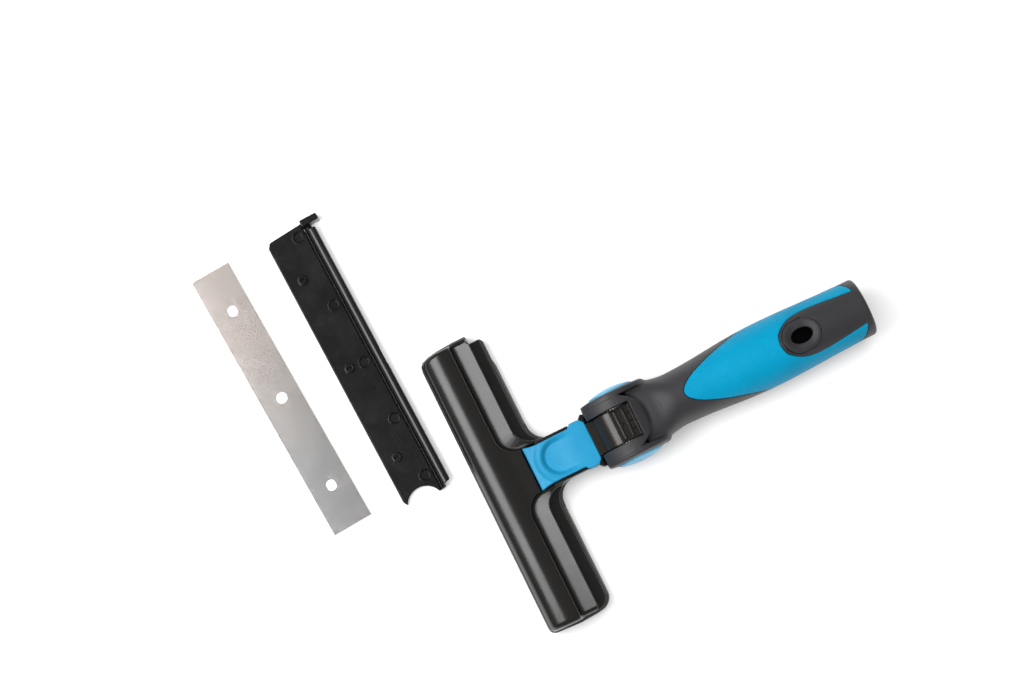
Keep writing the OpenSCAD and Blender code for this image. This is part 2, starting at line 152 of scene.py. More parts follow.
def net(field, lo, hi, cell):
    """Surface net of the field's zero level: vertices and quads in the field's own coordinates."""
    lo, hi = np.array(lo, float), np.array(hi, float)
    n = np.ceil((hi - lo) / cell).astype(int) + 1
    ax = [lo[i] + cell * np.arange(n[i]) for i in range(3)]
    f = np.broadcast_to(field(ax[0][:, None, None], ax[1][None, :, None], ax[2][None, None, :]), n)
    f = np.ascontiguousarray(f, dtype=float)
    s = f < 0
    # a cell is kept where some of its eight corners are inside and some are not
    count = sum(s[i:n[0] - 1 + i, j:n[1] - 1 + j, k:n[2] - 1 + k].astype(np.int8)
                for i in (0, 1) for j in (0, 1) for k in (0, 1))
    mixed = (count > 0) & (count < 8)
    cells = np.argwhere(mixed)
    index = np.full(mixed.shape, -1)
    index[mixed] = np.arange(len(cells))
    # its vertex is the mean of the points where the surface crosses its edges
    total, weight = np.zeros((len(cells), 3)), np.zeros(len(cells))
    for a in range(3):
        b, c = (a + 1) % 3, (a + 2) % 3
        for p in (0, 1):
            for q in (0, 1):
                off = np.zeros(3, int)
                off[b], off[c] = p, q
                g = cells + off
                h = g.copy()
                h[:, a] += 1
                f0, f1 = f[tuple(g.T)], f[tuple(h.T)]
                cross = (f0 < 0) != (f1 < 0)
                point = np.tile(off.astype(float), (len(cells), 1))
                point[cross, a] += f0[cross] / (f0[cross] - f1[cross])
                total[cross] += point[cross]
                weight[cross] += 1
    verts = lo + cell * (cells + total / weight[:, None])
    # each crossed edge of the grid gives one quad between the four cells round it
    quads = []
    for a in range(3):
        b, c = (a + 1) % 3, (a + 2) % 3
        here = [slice(1, -1)] * 3
        here[a] = slice(0, -1)
        ahead = [slice(1, -1)] * 3
        ahead[a] = slice(1, None)
        s0, s1 = s[tuple(here)], s[tuple(ahead)]
        at = np.argwhere(s0 != s1)
        out = s0[tuple(at.T)]
        at[:, b] += 1
        at[:, c] += 1
        ring = []
        for p, q in ((-1, -1), (0, -1), (0, 0), (-1, 0)):
            k = at.copy()
            k[:, b] += p
            k[:, c] += q
            ring.append(index[tuple(k.T)])
        ring = np.array(ring).T
        ring[~out] = ring[~out][:, ::-1]
        quads.append(ring)
    return verts, np.concatenate(quads)


def gradient(field, p, h=0.03):
    """Slope of the field at each point, by differences over h either way."""
    g = np.empty_like(p)
    for i in range(3):
        d = np.zeros(3)
        d[i] = h
        hi, lo = p + d, p - d
        g[:, i] = (field(hi[:, 0], hi[:, 1], hi[:, 2]) - field(lo[:, 0], lo[:, 1], lo[:, 2])) / (2 * h)
    return g


def project(field, p, cell):
    """Moves each point onto the surface, by at most a cell at a time."""
    for _ in range(PROJECT_ROUNDS):
        f = field(p[:, 0], p[:, 1], p[:, 2])
        g = gradient(field, p)
        step = f / np.maximum((g * g).sum(1), LEAST_SLOPE)
        p = p - np.clip(step, -cell, cell)[:, None] * g
    return p


def relax(verts, quads):
    """Moves each vertex part of the way to the middle of its neighbours, to even out the net."""
    a, b = quads.ravel(), np.roll(quads, -1, axis=1).ravel()
    total, weight = np.zeros_like(verts), np.zeros(len(verts))
    for i, j in ((a, b), (b, a)):
        for k in range(3):
            total[:, k] += np.bincount(i, verts[j, k], len(verts))
        weight += np.bincount(i, minlength=len(verts))
    return verts + RELAX * (total / np.maximum(weight, 1)[:, None] - verts)


def make_object(name, verts, faces, material, normals=None):
    """A smooth-shaded mesh in the scene, with a normal for each vertex where they are known."""
    mesh = bpy.data.meshes.new(name)
    mesh.from_pydata(verts.tolist(), [], faces)
    mesh.validate()
    mesh.shade_smooth()
    if normals is not None and len(mesh.vertices) == len(normals):
        mesh.normals_split_custom_set_from_vertices(normals.tolist())
    mesh.materials.append(material)
    obj = bpy.data.objects.new(name, mesh)
    bpy.context.scene.collection.objects.link(obj)
    return obj


def sculpt(name, field, lo, hi, cell, material, body, node, at=(0, 0, 0), turn=0.0):
    """Builds the field as a mesh, sets it in place, and rides it on its body in place of its CAD node."""
    verts, quads = net(field, lo, hi, cell)
    verts = project(field, verts, cell)
    verts = project(field, relax(verts, quads), cell)
    normals = gradient(field, verts)
    normals /= np.maximum(np.linalg.norm(normals, axis=1), 1e-6)[:, None]
    c, s = math.cos(turn), math.sin(turn)
    spin = np.array([[c, -s, 0], [s, c, 0], [0, 0, 1]])
    verts = to_frame(verts @ spin.T + np.array(at))
    settle(make_object(name, verts, quads.tolist(), material, normals @ spin.T), body, node)


def lathe(name, profile, material, body, node, side):
    """Turns a closed (radius, distance) profile round the swivel axis, on the side given."""
    verts, faces = [], []
    m = len(profile)
    for i in range(LATHE_STEPS):
        a = 2 * math.pi * i / LATHE_STEPS
        verts += [(PIVOT_X + r * math.cos(a), side * d, AXIS_Z + r * math.sin(a)) for r, d in profile]
        k = (i + 1) % LATHE_STEPS
        for j in range(m):
            q = (i * m + j, i * m + (j + 1) % m, k * m + (j + 1) % m, k * m + j)
            faces.append(q if side > 0 else q[::-1])
    obj = make_object(name, to_frame(np.array(verts, float)), faces, material)
    obj.data.set_sharp_from_angle(angle=LATHE_SHARP)
    settle(obj, body, node)


def settle(obj, body, node):
    """Rides the piece on its body, in place of the CAD node, which it hides."""
    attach(obj, body)
    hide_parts(node)


# ---- materials ----

def srgb(r, g, b):
    """A colour given as a screen shows it, from 0 to 255, made linear."""
    def lin(c):
        c /= 255
        return c / 12.92 if c <= 0.04045 else ((c + 0.055) / 1.055) ** 2.4
    return (lin(r), lin(g), lin(b), 1.0)


def shade(colour, factor, lift=0.0):
    """The colour made darker or lighter."""
    return tuple(c * factor + lift for c in colour[:3]) + (1.0,)


class Finish:
    """A principled material with a small kit for procedural detail."""

    def __init__(self, name, colour, roughness, specular=0.5, metallic=0.0):
        self.mat = bpy.data.materials.new(name)
        self.mat.use_nodes = True
        self.tree = self.mat.node_tree
        self.shader = self.tree.nodes["Principled BSDF"]
        s = self.shader.inputs
        s["Base Color"].default_value = colour
        s["Roughness"].default_value = roughness
        s["Specular IOR Level"].default_value = specular
        s["Metallic"].default_value = metallic
        self.colour, self.roughness, self.height = colour, roughness, None
        self.coords = self.tree.nodes.new("ShaderNodeTexCoord").outputs["Object"]

    def node(self, kind, **values):
        """A new node, with each value given to the input or else the property of that name."""
        n = self.tree.nodes.new(kind)
        for key, value in values.items():
            if key in n.inputs:
                n.inputs[key].default_value = value
            else:
                setattr(n, key, value)
        return n

    def link(self, a, b):
        self.tree.links.new(a, b)

    def stretch(self, x, y, z, turn=0.0):
        """Coordinates scaled by a different amount each way, for a pattern that runs along one direction."""
        m = self.node("ShaderNodeMapping")
        m.inputs["Rotation"].default_value = (0, 0, -turn)
        m.inputs["Scale"].default_value = (x, y, z)
        self.link(self.coords, m.inputs["Vector"])
        return m.outputs[0]

    def noise(self, scale, detail, rough, coords=None):
        """A random pattern with about that many bumps to the metre."""
        n = self.node("ShaderNodeTexNoise", Scale=scale, Detail=detail, Roughness=rough)
        self.link(coords or self.coords, n.inputs["Vector"])
        return n.outputs["Fac"]

    def ramp(self, value, lo, hi, out_lo, out_hi):
        """Carries the span from lo to hi over to the one from out_lo to out_hi."""
        n = self.node("ShaderNodeMapRange")
        n.inputs["From Min"].default_value = lo
        n.inputs["From Max"].default_value = hi
        n.inputs["To Min"].default_value = out_lo
        n.inputs["To Max"].default_value = out_hi
        self.link(value, n.inputs["Value"])
        return n.outputs[0]

    def vary_colour(self, value, other, lo, hi, amount=1.0):
        """Mixes the base colour towards another one as the value goes from lo to hi."""
        # sockets 0, 6 and 7 of a colour mix are its factor and its two colours, and 2 is its colour output
        m = self.node("ShaderNodeMix", data_type="RGBA")
        self.link(self.ramp(value, lo, hi, 0.0, amount), m.inputs[0])
        base = self.shader.inputs["Base Color"]
        if base.is_linked:
            self.link(base.links[0].from_socket, m.inputs[6])
        else:
            m.inputs[6].default_value = self.colour
        m.inputs[7].default_value = other
        self.link(m.outputs[2], base)

    def vary_roughness(self, value, spread):
        low, high = self.roughness - spread, self.roughness + spread
        self.link(self.ramp(value, 0.3, 0.7, low, high), self.shader.inputs["Roughness"])

    def add_height(self, value, amount):
        """Adds a pattern to the relief."""
        m = self.node("ShaderNodeMath", operation="MULTIPLY")
        m.inputs[1].default_value = amount
        self.link(value, m.inputs[0])
        if self.height is None:
            self.height = m.outputs[0]
        else:
            a = self.node("ShaderNodeMath", operation="ADD")
            self.link(self.height, a.inputs[0])
            self.link(m.outputs[0], a.inputs[1])
            self.height = a.outputs[0]

    def bump(self, distance):
        """Puts the relief on the surface, that many metres deep, and gives the finished material."""
        b = self.node("ShaderNodeBump", Strength=1.0, Distance=distance)
        self.link(self.height, b.inputs["Height"])
        self.link(b.outputs[0], self.shader.inputs["Normal"])
        return self.mat


PLASTIC_RELIEF, STEEL_RELIEF = 0.00006, 0.00004


def grained(name, colour, roughness, grain, depth, spread=0.05, specular=0.5):
    """Moulded plastic or soft touch: fine grain in the height, slow change in colour and roughness."""
    f = Finish(name, colour, roughness, specular)
    fine = f.noise(grain, 3.0, 0.6)
    slow = f.noise(55, 3.0, 0.55)
    f.vary_roughness(slow, spread)
    f.vary_colour(f.noise(grain * 0.45, 2.0, 0.6), shade(colour, 1.18), 0.3, 0.75)
    f.vary_colour(slow, shade(colour, 0.9), 0.45, 0.75, 0.6)
    f.add_height(fine, depth)
    f.add_height(f.noise(900, 2.0, 0.5), depth * 0.5)
    return f.bump(PLASTIC_RELIEF)


def scratched(name, colour, roughness, turn, specular):
    """Satin moulded plastic that has been handled: a fine grain with faint long scratches."""
    f = Finish(name, colour, roughness, specular)
    long_a = f.noise(1.0, 2.0, 0.6, f.stretch(2600, 60, 900, turn))
    long_b = f.noise(1.0, 2.0, 0.6, f.stretch(90, 2300, 900, turn + 0.4))
    f.vary_roughness(f.noise(70, 3.0, 0.6), 0.06)
    f.vary_colour(long_a, shade(colour, 1.7, 0.004), 0.66, 0.78, 0.8)
    f.vary_colour(long_b, shade(colour, 1.6, 0.004), 0.68, 0.8, 0.7)
    f.add_height(f.noise(2400, 3.0, 0.6), 0.5)
    f.add_height(long_a, 0.35)
    return f.bump(PLASTIC_RELIEF)


def metal(name, colour, roughness, stretch=(900, 60, 900)):
    """Steel with its grain along one direction, or the same every way where stretch is."""
    f = Finish(name, colour, roughness, metallic=1.0)
    lines = f.noise(1.0, 3.0, 0.65, f.stretch(*stretch))
    f.vary_roughness(lines, 0.08)
    f.vary_colour(lines, shade(colour, 0.86), 0.4, 0.75, 0.8)
    f.add_height(lines, 0.6)
    return f.bump(STEEL_RELIEF)


soft_grey = grained("soft_touch_grey", srgb(31, 31, 34), 0.58, 2200, 0.7, specular=0.85)
core_grey = grained("fork_grey", srgb(31, 31, 34), 0.58, 2200, 0.5, specular=0.85)
grip_blue = grained("soft_touch_blue", srgb(0, 129, 165), 0.5, 2200, 0.6, specular=0.12)
lever_blue = grained("lever_blue", srgb(26, 128, 168), 0.42, 2600, 0.3, specular=0.3)
button_blue = grained("button_blue", srgb(78, 160, 197), 0.4, 2600, 0.3, specular=0.4)
bar_black = grained("bar_black", srgb(21, 20, 19), 0.2, 3000, 0.35, spread=0.03)
base_black = grained("base_black", srgb(56, 55, 52), 0.5, 2600, 0.4)
hub_black = grained("hub_gloss", srgb(24, 21, 18), 0.26, 2600, 0.2, spread=0.04)
inner_black = grained("inner_black", srgb(20, 20, 22), 0.5, 1800, 0.4)
carrier_black = scratched("carrier_black", srgb(15, 15, 15), 0.2, CARRIER_TURN, 0.42)
turned_steel = metal("turned_steel", srgb(200, 200, 202), 0.3)
sintered = metal("sintered_gear", srgb(176, 174, 168), 0.42, (700, 700, 700))
spring_wire = metal("spring_wire", srgb(190, 190, 194), 0.28, (400, 400, 1800))


# along the blade and across it, in metres: where its painted shade runs from light to dark, and where the
# painted highlight on its ground edge begins
PAINTED_LIT_END, PAINTED_SHADE_END = 0.035, -0.04
GROUND_HIGHLIGHT_SPAN = (0.0105, 0.0107)
BLADE_RELIEF = 0.00005


def blade_finish():
    """Ground blade: fine grain, painted shade from lighter to darker along its length, and a painted
    highlight, pale and less metallic, on the edge where it is ground.
    """
    f = Finish("ground_blade", srgb(202, 192, 186), 0.25, metallic=1.0)
    place = f.node("ShaderNodeMapping", vector_type="TEXTURE")
    place.inputs["Location"].default_value = tool_point(*BLADE_AT)
    place.inputs["Rotation"].default_value = (0, 0, BLADE_TURN)
    f.link(f.coords, place.inputs["Vector"])
    axes = f.node("ShaderNodeSeparateXYZ")
    f.link(place.outputs[0], axes.inputs[0])
    lines = f.noise(1.0, 5.0, 0.75, f.stretch(700, 2600, 600, BLADE_TURN))
    cloud = f.noise(90, 4.0, 0.65)
    # painted shade: the blade is drawn lighter and warmer at one end and darker and greyer towards the other
    f.vary_colour(axes.outputs["Y"], srgb(172, 172, 173), PAINTED_LIT_END, PAINTED_SHADE_END)
    f.vary_colour(lines, srgb(150, 146, 144), 0.4, 0.75, 0.7)
    f.vary_colour(cloud, srgb(222, 216, 212), 0.45, 0.8, 0.25)
    # painted highlight: the ground edge is drawn pale and less metallic so that it shows as a bright line
    f.vary_colour(axes.outputs["X"], srgb(226, 222, 216), *GROUND_HIGHLIGHT_SPAN)
    f.link(f.ramp(axes.outputs["X"], *GROUND_HIGHLIGHT_SPAN, 1.0, 0.1), f.shader.inputs["Metallic"])
    f.vary_roughness(lines, 0.03)
    f.add_height(lines, 0.9)
    return f.bump(BLADE_RELIEF)


ground_blade = blade_finish()


def paint(finish, *names):
    """Gives these CAD nodes, whose shapes stay, a better material."""
    for name in names:
        if not nodes[name].material_slots:
            nodes[name].data.materials.append(finish)
        for mesh_slot in nodes[name].material_slots:
            mesh_slot.material = finish


paint(inner_black, "pole_sleeve", "neck_frame")
paint(turned_steel, "pivot_axle", "axle_clips", "latch_pin", "neck_screws", "head_screws")
paint(sintered, "lock_gear_left", "lock_gear_right")
paint(spring_wire, "gear_spring_left", "gear_spring_right", "latch_spring")

# ---- the grip ----

NECK_X, SWELL_X, CORE_END, TAIL_X = 33.0, 84.0, 139.7, 142.2
NECK_R, SWELL_R, TAIL_R = 14.2, 17.1, 15.5
# the skin and the fork meet at SEAM_X, and past it each dives under the other
SEAM_X, SEAM_DIVE = 25.6, 0.12
SOCKET_R = 12.3
HOLE_X, HOLE_LONG, HOLE_WIDE = 105.2, 5.9, 3.9
COLLAR_HALF, COLLAR_R = 1.9, 8.3


def half_wave(x, x0, x1):
    """Climbs from 0 to 1 between x0 and x1, as half a cosine wave."""
    return (1 - np.cos(np.pi * np.clip((x - x0) / (x1 - x0), 0, 1))) / 2


def grip_radius(x):
    swell = (SWELL_R - NECK_R) * half_wave(x, NECK_X, SWELL_X)
    return NECK_R + swell - (SWELL_R - TAIL_R) * half_wave(x, SWELL_X, CORE_END)


def grip_distance(x, y, z):
    """Round along the grip; towards the fork the section grows wider, lower and squarer."""
    r = grip_radius(x)
    near_fork = smooth((34 - x) / 12)
    wide = r + 1.1 * (np.maximum(35 - x, 0) / 9) ** 2
    tall = r - 1.9 * near_fork
    n = 2 + 0.8 * near_fork
    return ((np.abs(y / wide) ** n + np.abs((z - AXIS_Z) / tall) ** n) ** (1 / n) - 1) * tall


# the inlay's outer edge and the edge of the grey tongue in it: distance from the top line, along the grip
LEAF_OUT = [(38.6, -1.0), (39.4, 1.6), (42, 4.6), (46, 7.4), (52, 10.4), (60, 14.2), (68, 17.6),
            (76, 21.7), (84, 26.5), (92, 30.5), (104, 33), (116, 32.5), (124, 29.5), (130, 25.5),
            (134, 20.5), (137, 14.5), (138.6, 9.5), (139.4, 6)]
LEAF_CUT = [(92.0, -3), (92.9, 0.5), (94, 4.6), (96, 7.2), (99, 9.7), (103, 11.9), (108, 13.0), (114, 13.1),
            (122, 12.3), (130, 11.1), (139.5, 9.8)]
LEAF_FROM, LEAF_TO = 38.6, 139.0


def beyond(v, x, edge):
    """Distance from v out to an edge that wanders with x."""
    slope = (curve(x + 0.3, edge) - curve(x - 0.3, edge)) / 0.6
    return (v - curve(x, edge)) / np.hypot(1, slope)


def leaf(x, y, z):
    """Distance over the grip's surface to the edge of the blue inlay, negative on the blue."""
    v = grip_radius(x) * np.arctan2(np.abs(y), z - AXIS_Z)
    between = smax(beyond(v, x, LEAF_OUT), -beyond(v, x, LEAF_CUT), 0.6)
    return smax(between, np.maximum(LEAF_FROM - x, x - LEAF_TO), 0.3)


def grip_skin(x, y, z):
    """Outer layer of the grip, with a bed for the inlay and an opening for the collar."""
    g = grip_distance(x, y, z)
    d = smax(g + SEAM_DIVE * np.maximum(SEAM_X - x, 0), SEAM_X - 2 - x, 0.05)
    d = smax(d, x - TAIL_X, 2.0)
    socket = np.hypot(y, z - AXIS_Z) - SOCKET_R
    d = smax(d, -socket, 0.8)
    d = smax(d, -smax(leaf(x, y, z) - 0.1, -1.9 - g, 0.2), 0.3)
    ring = stadium(x - HOLE_X, y, COLLAR_HALF, COLLAR_R + 0.05)
    return smax(d, -smax(ring, AXIS_Z + 6 - z, 0.1), 0.1)


def grip_inlay(x, y, z):
    """Stands a hair proud of the skin."""
    g = grip_distance(x, y, z)
    return smax(smax(g - 0.08, -1.6 - g, 0.2), leaf(x, y, z), 0.35)


def hole_collar(x, y, z):
    """Oval ring round the long hole: its rim stands proud of the grip and dishes down to the hole."""
    g = grip_distance(x, y, z)
    s = stadium(x - HOLE_X, y, COLLAR_HALF, COLLAR_R)
    dish = 0.3 - 1.3 * smooth((-s - 0.8) / 4.2)
    d = smax(s, g - dish, 0.12)
    d = smax(d, -2.45 - g, 0.3)
    hole = (np.hypot((x - HOLE_X) / HOLE_LONG, y / HOLE_WIDE) - 1) * HOLE_WIDE
    return smax(d, -hole, 0.5)


sculpt("grip_skin_soft", grip_skin, (24, -19, -1), (143.5, 19, 37), 0.7, soft_grey, "handle", "grip_skin")
sculpt("grip_inlay_blue", grip_inlay, (37, -19, -1), (141, 19, 37), 0.6, grip_blue, "handle", "grip_inlay")
sculpt("hole_collar_ring", hole_collar, (93, -10, 28), (117, 10, 37), 0.4, soft_grey, "handle", "hole_collar")

# ---- the fork ----

FORK_R, CHEEK_IN = 17.9, 9.5
DOME_R, DOME_TOP, DOME_RISE = 11.7, 20.55, 1.7


def ear_face(rho):
    """The ear's outer face, which falls away a little from its middle."""
    return 18.75 - 1.5 * (rho / FORK_R) ** 2


def fork(x, y, z):
    """A drum round the swivel axis with an ear on each side, and the neck that runs into the grip."""
    rho = np.hypot(x - PIVOT_X, z - AXIS_Z)
    ay = np.abs(y)
    drum = smax(rho - FORK_R, ay - 15.2, 0.5)
    # from above, the drum's corners beside the neck are round
    drum = smax(drum, np.where(x > 3, np.hypot(x - 1.5, y) - 15.7, -9.0), 0.7)
    ears = smax(smax(rho - FORK_R, ay - ear_face(rho), 1.0), 14.4 - ay, 0.8)
    neck = smax(grip_distance(x, y, z) + SEAM_DIVE * np.maximum(x - SEAM_X, 0), x - SEAM_X - 1.6, 0.05)
    neck = smax(neck, 12.0 - x, 0.5)
    front = -12.2 + 0.9 * smooth((23 - z) / 3)
    d = smax(smin(smin(drum, ears, 0.6), neck, 1.8), front - x, 0.35)
    # the gap between the cheeks, open to the front, and the round hollow behind it for the barrel
    gap = smax(smax(x - 11.3, ay - CHEEK_IN, 0.8), -40 - x, 0.1)
    d = smax(d, -gap, 0.45)
    d = smax(d, -smax(rho - 14.75, ay - CHEEK_IN, 0.2), 0.4)
    # in each ear, a pocket for the button and a wider one for the ring round it
    d = smax(d, -smax(rho - 13.0, 13.9 - ay, 0.2), 0.3)
    d = smax(d, -smax(rho - 15.55, 16.4 - ay, 0.2), 0.3)
    bore = np.hypot(y, z - AXIS_Z) - 8.0
    d = smax(d, -smax(bore, 20.0 - x, 0.3), 0.3)
    # kept a hair inside the CAD fork, above and below
    return np.maximum(d, np.abs(z - AXIS_Z) - (FORK_R - 0.02))


sculpt("fork_body", fork, (-13.5, -20, -1), (28, 20, 37), 0.4, core_grey, "handle", "handle_core")

# each outline as (radius, distance from the middle); the dome's starts and ends a hair off the axis
ring_pts = ([(12.2, 18.0), (12.5, ear_face(12.5))] + [(r, ear_face(r) + 0.06) for r in (12.9, 13.5, 14.2)]
            + [(14.9, ear_face(14.9)), (15.2, ear_face(15.2) - 0.08), (15.4, ear_face(15.4) - 0.35)]
            + [(15.4, 16.6), (12.2, 16.6)])
dome_pts = ([(r, DOME_TOP - DOME_RISE * (r / DOME_R) ** 2)
             for r in (0.01, 1, 2.5, 4, 5.5, 7, 8.3, 9.5, 10.5, 11.2, DOME_R)]
            + [(11.85, 18.75), (11.95, 18.55), (11.95, 17.75), (12.95, 17.65), (12.95, 17.1), (10.5, 17.1)]
            + [(10.5, 18.4), (0.01, 18.4)])

for tag, side in (("left", 1), ("right", -1)):
    lathe("ear_ring_" + tag, ring_pts, core_grey, "handle", "ear_cap_" + tag, side)
    lathe("push_button_" + tag, dome_pts, button_blue, "button_" + tag, "side_button_" + tag, side)

# ---- the hub ----

PANEL_Z, NOSE_X, NOSE_R, HUB_HALF = 30.6, 1.8, 11.3, 8.95


def hub(x, y, z):
    """The barrel, cut flat on top, with a smaller nose in front and a recessed panel in the flat."""
    rho = np.hypot(x - PIVOT_X, z - AXIS_Z)
    ay = np.abs(y)
    barrel = smax(rho - 13.95, z - PANEL_Z, 0.4)
    nose = smax(np.hypot(x - NOSE_X, z - (PANEL_Z - NOSE_R)) - NOSE_R, AXIS_Z - z, 0.3)
    nose = smax(nose, -8.4 - x, 0.2)
    nose = smax(nose, x - 4, 0.3)
    d = smax(np.minimum(barrel, nose), ay - HUB_HALF, 0.35)
    # the panel, in which stand two rails, a pointer and three ticks
    panel = rect(x, y, 1.4, 10.2, -12, 12, 0.6)
    d = smax(d, -smax(panel, PANEL_Z - 0.55 - z, 0.1), 0.3)
    rails = np.minimum(rect(x, y, 2.0, 3.0, -7.6, 7.6, 0.3), rect(x, y, 6.4, 7.4, -7.6, 7.6, 0.3))
    pointer = poly(x, y, [(2.6, 1.5), (2.6, -1.5), (4.8, 0)])
    ticks = np.maximum(np.minimum(np.abs(np.abs(y) - 4.2), np.abs(y)) - 0.35, slab(x, 7.2, 9.3))
    marks = np.minimum(np.minimum(rails, pointer), ticks)
    d = smin(d, smax(marks, np.maximum(z - PANEL_Z + 0.1, PANEL_Z - 1.5 - z), 0.25), 0.25)
    # a pocket for a lock gear from each side, with a web between the two
    return smax(d, -smax(rho - 11.2, 1.5 - ay, 0.1), 0.15)


def hub_stem(x, y, z):
    """The plate behind the barrel, with bevelled corners, and the tongue that is screwed to the neck."""
    ay = np.abs(y)
    plate = np.maximum(np.maximum(slab(x, -13, -8), ay - 8.9), slab(z, 12, 21))
    flange = poly(x, ay, [(-15.5, -1), (-15.5, 12.7), (-13.6, 14.7), (-9, 14.7), (-9, -1)])
    flange = np.maximum(flange, slab(z, 7, 17))
    # hollowed to clear the fork as the head turns
    flange = np.maximum(flange, 18.2 - np.hypot(x - PIVOT_X, z - AXIS_Z))
    tongue = np.maximum(np.maximum(slab(x, -36, -14), ay - 7), slab(z, 9.6, 12.1))
    return np.minimum(np.minimum(plate, flange), tongue)


sculpt("hub_barrel", hub, (-13, -10, 3), (20.5, 10, 32), 0.3, hub_black, "head", "pivot_hub")
sculpt("hub_stem_plate", hub_stem, (-37, -16.5, 6), (-7, 16.5, 22), 0.45, hub_black, "head", "pivot_hub")

# ---- the bar of the head ----

BULGE_X, BULGE_R, BULGE_TOP = -63.6, 16.3, 24.5
PLATEAU_Z, BASE_TOP = 22.8, 6.9
STRIP_X, STRIP_TOP = -42.6, 8.8
WALL_X, RIDGE_X = -57.6, -48.1
RIDGE_Z, RAMP_SLOPE = 19.9, 0.26
WELL_HALF = 12.05

# seen from above: the whole shell, the foot of the wall behind the bulge, and the ramp's ridge
shell_plan_pts = ([(-75.9, 70.5), (-75.4, 72.9), (-73.8, 74.8), (-71, 75.7), (-66, 76.2), (-58.4, 76.3),
                   (-58.4, 76.4), (-48.9, 76.4), (-48.9, 73.7), (STRIP_X, 73.7)]
                  + arc(-31.5, 23.3, 11.1, 180, 270, 8) + arc(-31.5, -23.3, 11.1, 90, 180, 8)
                  + arc(-49.2, -71.8, 7, 0, -90, 6) + [(-60, -79.4), (-70, -79.1)]
                  + arc(-72.1, -75.3, 3.8, 270, 180, 5))
wall_pts = mirrored([(-90, 99), (WALL_X, 99)] + arc(WALL_X + 9.8, 22, 9.8, 180, 270, 10) + [(-17, 12.2)])
ridge_pts = mirrored([(-90, 99), (RIDGE_X, 99)] + arc(RIDGE_X + 9.9, 23.3, 9.9, 180, 270, 10) + [(-30, 13.4)])


def shell(x, y, z):
    """Upper half of the head: a round bar, a flat neck with a well in it, and a ramp with a strip behind."""
    ay = np.abs(y)
    plan = poly(x, y, shell_plan_pts)
    bulge = np.hypot(x - BULGE_X, z - (BULGE_TOP - BULGE_R)) - BULGE_R
    bulge = smax(bulge, plan + 0.3, 3.0)
    plateau = np.maximum(np.maximum(z - PLATEAU_Z, BULGE_X - x), ay - 30)
    high = smax(smin(bulge, plateau, 0.9), poly(x, y, wall_pts) + 0.07 * (z - 17), 1.4)
    # the ramp climbs from the foot of the wall back to its ridge, and both curve round into the neck
    ridge = poly(x, y, ridge_pts)
    top = RIDGE_Z + RAMP_SLOPE * np.maximum(ridge, -10) - 0.55 * np.maximum(x + 44, 0)
    ramp = smax(smax(smax(ridge, z - top, 0.35), -78.6 - y, 2.4), y - 77, 0.3)
    upper = smax(smin(high, ramp, 1.8), ridge, 0.35)
    end_wall = smax(smax(slab(x, -57.8, -48.9), slab(y, 74.6, 76.4), 0.3), z - 20.4, 0.6)
    upper = smax(np.minimum(upper, end_wall), plan, 0.5)
    strip = smax(plan, z - STRIP_TOP, 0.4)
    d = smin(upper, strip, 0.5)
    d = np.maximum(d, BASE_TOP - z)
    # well for the thumb lever, open at the back
    well = rect(x, y, -48.5, -10, -WELL_HALF, WELL_HALF, 0.6)
    well = smax(well, 6.0 - z, 0.1)
    d = smax(d, -well, 0.35)
    # hollow under the bulge
    d = smax(d, -np.maximum(slab(x, -75, -58.6), np.maximum(slab(y, -77, 74.4), z - 8.0)), 0.1)
    # a rail on each side of the well
    rails = np.maximum(slab(x, -48.6, -21.6), slab(ay, 10.95, 12.4))
    rails = smax(rails, slab(z, 9.1, 20.5), 0.35)
    rails = smax(rails, -np.maximum(x + 40.5, 12.4 - z), 0.3)
    return np.minimum(d, rails)


sculpt("bar_shell", shell, (-78, -81.5, 5.5), (-16, 78, 25.5), 0.55, bar_black, "head", "head_shell")

base_plan_pts = (arc(-72.5, -76, 4, 180, 270, 6) + [(-60, -80.8), (-49, -80.1)]
                 + arc(-48.2, -71.9, 8, 280, 360, 8) + arc(-30.2, -22.2, 10, 180, 90, 8)
                 + [(-15.9, -12.2), (-15.9, 12.2)] + arc(-30.2, 22.2, 10, 270, 180, 8)
                 + [(-40.2, 58), (-41.0, 61), (-41.0, 72.0), (-42.2, 73.7), (-48.5, 73.7), (-48.5, 78.3),
                    (-58, 78.3), (-65, 77.9), (-70.5, 77.1), (-74, 75.8), (-76, 73.4), (-76.5, 70)])
base_section_pts = [(-76.5, 4.9), (-76.5, 6.2), (-75.8, BASE_TOP), (-57, BASE_TOP), (-57, 8.3), (-48.2, 8.3),
                    (-47.6, BASE_TOP), (-42.7, BASE_TOP), (-41.4, 6.3), (-40.6, 5.0), (-40.2, 3.0),
                    (-40.2, 0.8), (-41, 0), (-50.2, 0), (-50.8, 0.6), (-50.8, 4.2), (-48.8, 4.2),
                    (-48.8, 6.7), (-54.3, 6.7), (-54.3, 4.9)]
BASE_SCREWS_X, BASE_SCREWS_Y = -67, (-66, -30, 30, 66)


